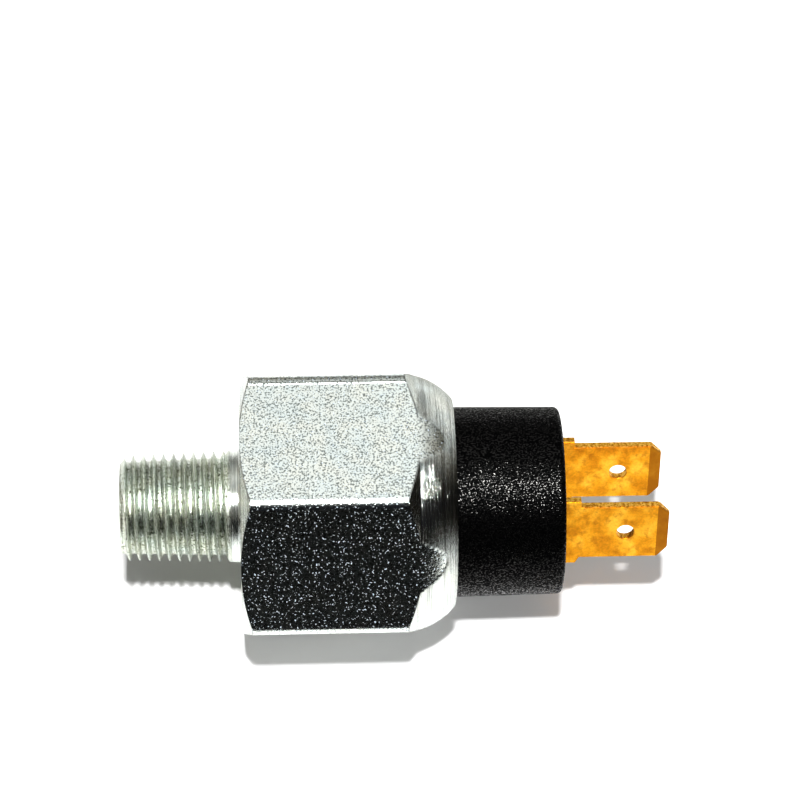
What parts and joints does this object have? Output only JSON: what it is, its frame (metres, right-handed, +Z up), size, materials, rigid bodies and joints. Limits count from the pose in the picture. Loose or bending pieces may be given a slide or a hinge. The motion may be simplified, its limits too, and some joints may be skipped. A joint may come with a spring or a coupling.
{
  "type": "hydraulic pressure switch",
  "caption": "Hydraulic pressure switch with a tapered pipe-thread stem, hexagon housing, rolled lip, black moulded base and two tab terminals.",
  "frame": {"origin": "on the switch's axis, in the plane of the hexagon's thread-side face", "axes": "+X along the axis towards the tab terminals, +Z up with the switch lying on one flat of its hexagon, metres"},
  "size_m": [0.0513, 0.0272, 0.024],
  "materials": {
    "zinc_steel": "zinc plated, grained flats",
    "black_moulding": "phenolic moulding, fine grain",
    "tab_brass": "stamped, tarnished",
    "contact_brass": "rolled",
    "contact_silver": "silver alloy, satin",
    "rubber": "moulded, matte",
    "spring_steel": "drawn wire",
    "plain_steel": "turned",
    "nylon": "moulded, satin",
    "gasket_fibre": "pressed fibre"
  },
  "bodies": {
    "housing": {"hex_body": "zinc_steel", "terminal_base": "black_moulding", "terminal_front": "tab_brass", "terminal_rear": "tab_brass", "contact_plate_front": "contact_brass", "contact_plate_rear": "contact_brass", "fixed_contact_front": "contact_silver", "fixed_contact_rear": "contact_silver", "diaphragm": "rubber", "support_ring": "plain_steel", "base_gasket": "gasket_fibre", "return_spring": "spring_steel", "spring_shim": "plain_steel"},
    "plunger_group": {"plunger": "nylon", "diaphragm_plate": "plain_steel", "contact_bridge": "contact_brass", "moving_contact_front": "contact_silver", "moving_contact_rear": "contact_silver", "bridge_retainer": "spring_steel"}
  },
  "joints": [
    {"name": "plunger_slide", "type": "slide", "parent": "housing", "child": "plunger_group", "axis": [1, 0, 0], "range_m": [0, 0.00068], "stiffness_N_per_m": 4000, "springref_m": -0.002, "deforming": ["return_spring", "diaphragm"]}
  ]
}
